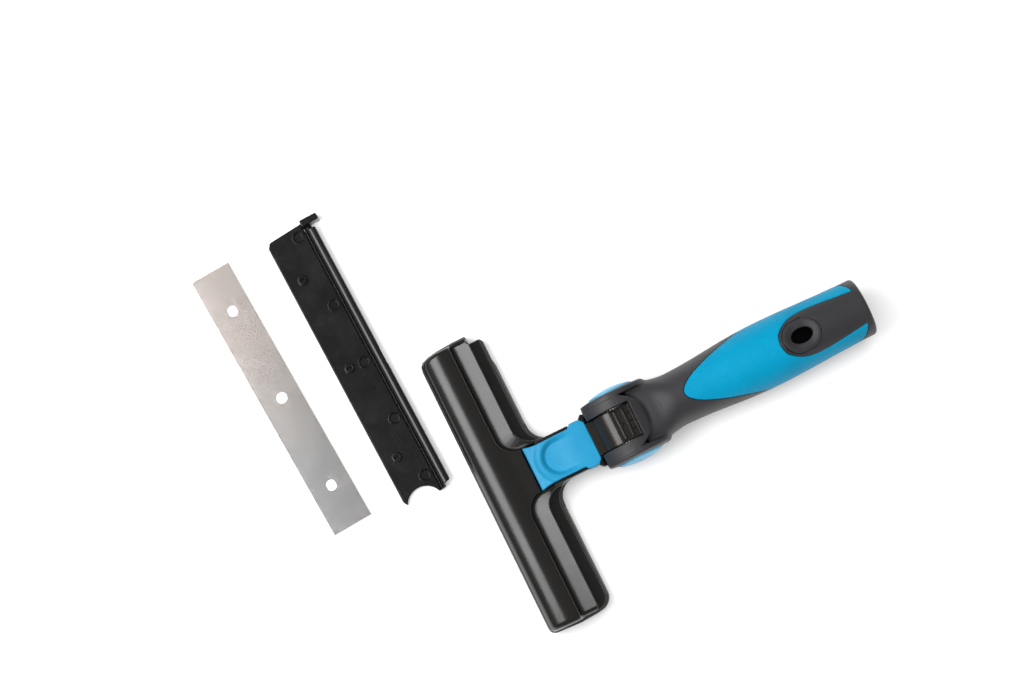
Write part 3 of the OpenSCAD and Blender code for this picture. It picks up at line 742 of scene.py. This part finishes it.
def base(x, y, z):
    """Lower half of the head: a roof over the blade with a flange behind it, closed at one end."""
    plan = poly(x, y, base_plan_pts)
    roof = poly(x, z, base_section_pts)
    wall = np.maximum(np.maximum(slab(x, -80, -45), y + 77), np.maximum(z - 6, -z))
    web = np.maximum(rect(x, y, -42.6, -12.6, -24, 24), slab(z, 3, 5.6))
    spine = np.maximum(rect(x, y, -47.6, -15.6, -12.2, 12.2), slab(z, 3, 8.9))
    d = np.minimum(np.minimum(roof, wall), np.minimum(web, spine))
    d = smax(d, plan, 0.5)
    # the opening for the lever's hook, two holes for the neck screws, four stepped ones for the head screws
    d = np.maximum(d, -np.maximum(rect(x, y, -51.3, -43.3, -3.6, 3.6), 0))
    for sx in (-32, -24):
        d = np.maximum(d, 2.6 - np.hypot(x - sx, y))
    for sy in BASE_SCREWS_Y:
        hole = np.hypot(x - BASE_SCREWS_X, y - sy)
        d = np.maximum(d, -np.minimum(np.maximum(hole - 2.7, z - 6), hole - 1.45))
    return d


sculpt("bar_base", base, (-78, -82, -1), (-15, 79, 9.5), 0.55, base_black, "head", "head_base")

# ---- the thumb lever ----

PIN_X, PIN_Z, PIN_HOLE_R = -18.2, 16.5, 1.32
lever_pts = mirrored([(-47.7, -12.0), (-46.2, -11.7), (-44, -11.2), (-41, -10.8), (-36, -10.7),
                      (-22.6, -10.8), (-20.2, -12.7), (-15.2, -12.5), (-13.1, -10.2)])


def lever(x, y, z):
    """A plate with a dished thumb rest, pin bosses under its rear end and a hook under its front."""
    ay = np.abs(y)
    plan = poly(x, y, lever_pts)
    # u is the distance out from the edge of the dish, which is round at the front and straight behind
    u = np.where(x < -31.8, np.hypot(x + 31.8, y), ay) - 9.9
    fade = smooth((-19 - x) / 12)
    top = curve(x, [(-48, 22.0), (-43.5, 22.75), (-38, 23.0), (-30, 22.85), (-20, 22.35), (-13, 21.5)])
    dish = (2.1 * smooth((-20 - x) / 17) + 0.15) * smooth(-u / 2.6) * smooth((-15 - x) / 6)
    ridge = 0.4 * np.exp(-((u - 0.55) / 0.65) ** 2) * fade
    corner = 1.3 * smooth((u - 1.2) / 3.2) * smooth((-36 - x) / 8)
    d = (z - (top - dish + ridge - corner)) * 0.85
    d = smax(plan, d, 0.7)
    under = poly(x, z, [(-47.8, 15.8), (-46.5, 14.4), (-15.9, 14.4), (-15.6, 17.5), (-13.0, 18.4),
                        (-13.0, 30), (-47.8, 30)])
    d = smax(d, under, 0.3)
    d = smax(d, -np.maximum(rect(x, y, -44.5, -21.5, -9.3, 9.3, 0.5), z - 17.6), 0.2)
    d = smax(d, -np.maximum(rect(x, y, -22, -15, -10.7, 10.7), z - 19.3), 0.2)
    pin = np.hypot(x - PIN_X, z - PIN_Z)
    d = np.minimum(d, smax(pin - 2.6, slab(ay, 10.9, 12.9), 0.3))
    hook = np.minimum(np.maximum(slab(x, -47.4, -44.8), slab(z, 3, 16)),
                      np.maximum(slab(x, -50.2, -47.2), slab(z, 3, 5.3)))
    d = np.minimum(d, smax(hook, ay - 3, 0.3))
    return np.maximum(d, PIN_HOLE_R - pin)


sculpt("thumb_lever", lever, (-51, -13.8, 2), (-12, 13.8, 24.2), 0.4, lever_blue, "lever", "latch_lever")

# ---- the loose carrier ----

PLATE_Z = 2.6
HOLE_PITCH = 52.6
carrier_plan_pts = ([(-8.3, -74.7), (-6.8, -77.5)] + arc(2, -81.6, 9.75, 154, 20, 14)
                    + [(11.5, -78.5), (15.5, -78.2), (15.5, -76.2), (17.6, -76.0), (18.8, -75.6),
                       (19.2, -74.6), (19.2, 80.3), (13.2, 80.3), (12.2, 79.6), (-6.3, 78.3), (-8.3, 75.4)])
carrier_section_pts = [(-8.3, 0), (-8.3, 2.1), (-7.8, PLATE_Z), (12.3, PLATE_Z), (12.5, 2), (12.9, 2),
                       (13.1, 3.3), (13.8, 3.3), (14, 2), (14.9, 2), (14.9, 3.9), (14.4, 4.4), (14.6, 5.0),
                       (15.4, 5.7), (16.4, 5.95), (17.7, 6.0), (18.8, 5.55), (19.2, 4.8), (19.2, 3.9),
                       (17.2, 3.9), (17.2, 0)]
PEG_R, PEG_FLAT, PEG_TALL = 2.5, 2.2, 2.0
EJECTOR_X, EJECTORS_Y = 8.4, (-67.6, -34.0, -0.5, 33.5, 73.7)


def carrier(x, y, z):
    """A plate with three slit pegs, a row of ejector marks, a hooked rail along it and a tab at one end."""
    d = smax(poly(x, y, carrier_plan_pts), poly(x, z, carrier_section_pts), 0.35)
    for py in (-HOLE_PITCH, 0.0, HOLE_PITCH):
        peg = np.maximum(np.hypot(x, y - py) - PEG_R, np.abs(x) - PEG_FLAT)
        peg = smax(peg, z - PLATE_Z - PEG_TALL, 0.25)
        d = smin(d, np.maximum(peg, 1 - z), 0.15)
        slit = np.maximum(np.abs(y - py) - 0.45, PLATE_Z + 0.5 - z)
        d = smax(d, -np.maximum(slit, np.abs(x) - 1.6), 0.15)
    # each ejector mark is a shallow round pit with a low rim
    for ey in EJECTORS_Y:
        rr = np.hypot(x - EJECTOR_X, y - ey)
        d = smax(d, -np.maximum(rr - 2.5, PLATE_Z - 0.9 - z), 0.1)
        d = smin(d, np.maximum(np.abs(rr - 2.85) - 0.25, slab(z, 2, PLATE_Z + 0.35)), 0.1)
    # a cut across the rail beside the end tab, and a notch in the rail's outer side
    d = smax(d, -np.maximum(slab(y, 74.5, 76.7), np.maximum(12.85 - x, 2 - z)), 0.2)
    d = np.maximum(d, -np.maximum(slab(y, -7, 2), np.maximum(17.45 - x, slab(z, 3, 5))))
    tab = smax(rect(x, y, 12.9, 22.8, 76.7, 80.3, 0.7), slab(z, 0, 9), 0.6)
    return np.maximum(smin(d, tab, 0.3), -z)


sculpt("carrier_body", carrier, (-9.5, -80, -1), (23.5, 82.5, 10), 0.42, carrier_black, "carrier",
       "blade_carrier", CARRIER_AT, CARRIER_TURN)

# ---- the loose blade ----

HALF_LONG, HALF_WIDE, BLADE_THICK = 152.4 / 2, 22.6 / 2, 0.8
BEVEL_SLOPE, EDGE_HALF = 0.4, 0.1
BLADE_HOLE_R, FLAT_HALF = 3.0, 2.6


def loose_blade(x, y, z):
    """Flat blade, ground to an edge on one side, with a round hole between two holes with flat sides."""
    d = np.maximum(rect(x, y, -HALF_WIDE, HALF_WIDE, -HALF_LONG, HALF_LONG), slab(z, 0, BLADE_THICK))
    bevel = np.abs(z - BLADE_THICK / 2) - EDGE_HALF - BEVEL_SLOPE * (HALF_WIDE - x)
    # the factor makes it a true distance, square to the bevel
    d = np.maximum(d, bevel * 0.93)
    for hy, half in ((-HOLE_PITCH, FLAT_HALF), (0, BLADE_HOLE_R), (HOLE_PITCH, FLAT_HALF)):
        d = np.maximum(d, -np.maximum(np.hypot(x, y - hy) - BLADE_HOLE_R, np.abs(x) - half))
    return d


sculpt("blade_ground", loose_blade, (-12, -77, -0.5), (12, 77, 1.3), 0.32, ground_blade, "blade", "blade",
       BLADE_AT, BLADE_TURN)

# ---- floor, light and camera ----

FLOOR_HALF, FLOOR_GAP = 3.0, 0.0002
floor_mesh = bpy.data.meshes.new("floor")
corners = [(-FLOOR_HALF, -FLOOR_HALF, 0), (FLOOR_HALF, -FLOOR_HALF, 0),
           (FLOOR_HALF, FLOOR_HALF, 0), (-FLOOR_HALF, FLOOR_HALF, 0)]
floor_mesh.from_pydata(corners, [], [(0, 1, 2, 3)])
floor = bpy.data.objects.new("floor", floor_mesh)
floor.location.z = -FLOOR_GAP
bpy.context.scene.collection.objects.link(floor)
floor_white = Finish("floor_white", (0.93, 0.93, 0.93, 1), 0.9, specular=0.2)
floor_mesh.materials.append(floor_white.mat)


def area(name, x, y, z, power, glossy=True):
    """A soft light that hangs level at height z, over the x and y spans given, all in metres."""
    light = bpy.data.lights.new(name, "AREA")
    light.shape = "RECTANGLE"
    light.size, light.size_y, light.energy = x[1] - x[0], y[1] - y[0], power
    obj = bpy.data.objects.new(name, light)
    obj.location = ((x[0] + x[1]) / 2, (y[0] + y[1]) / 2, z)
    obj.visible_glossy = glossy
    bpy.context.scene.collection.objects.link(obj)


area("softbox", (-1.15, -0.40), (-0.15, 0.80), 1.0, 15.8)
area("fill", (-1.0, 1.2), (-1.0, 1.2), 1.6, 36.0, glossy=False)

world = bpy.data.worlds.new("studio")
bpy.context.scene.world = world
world.use_nodes = True
background = world.node_tree.nodes["Background"].inputs
background["Color"].default_value = (1, 1, 1, 1)
background["Strength"].default_value = 0.25

view = bpy.context.scene.view_settings
view.view_transform = "Standard"
view.look = "None"
view.exposure = 0.0

# its place and aim in the tool frame, its turn about the line of sight, its sensor and lens in millimetres
CAM_AT = (-40.0, -55.0, 1271.7)
CAM_AIM = (-27.46, 65.69, 0.0)
CAM_ROLL = math.radians(26.28)
CAM_SENSOR, CAM_LENS = 36.0, 86.013
cam_data = bpy.data.cameras.new("camera")
cam_data.sensor_width = CAM_SENSOR
cam_data.lens = CAM_LENS
cam = bpy.data.objects.new("camera", cam_data)
bpy.context.scene.collection.objects.link(cam)
eye = tool_point(*CAM_AT)
back = (eye - tool_point(*CAM_AIM)).normalized()
right = Vector((math.sin(CAM_ROLL), math.cos(CAM_ROLL), 0)).cross(back).normalized()
up = back.cross(right)
cam.matrix_world = Matrix.Translation(eye) @ Matrix((right, up, back)).transposed().to_4x4()
cam_data.clip_start, cam_data.clip_end = 0.05, 20
bpy.context.scene.camera = cam
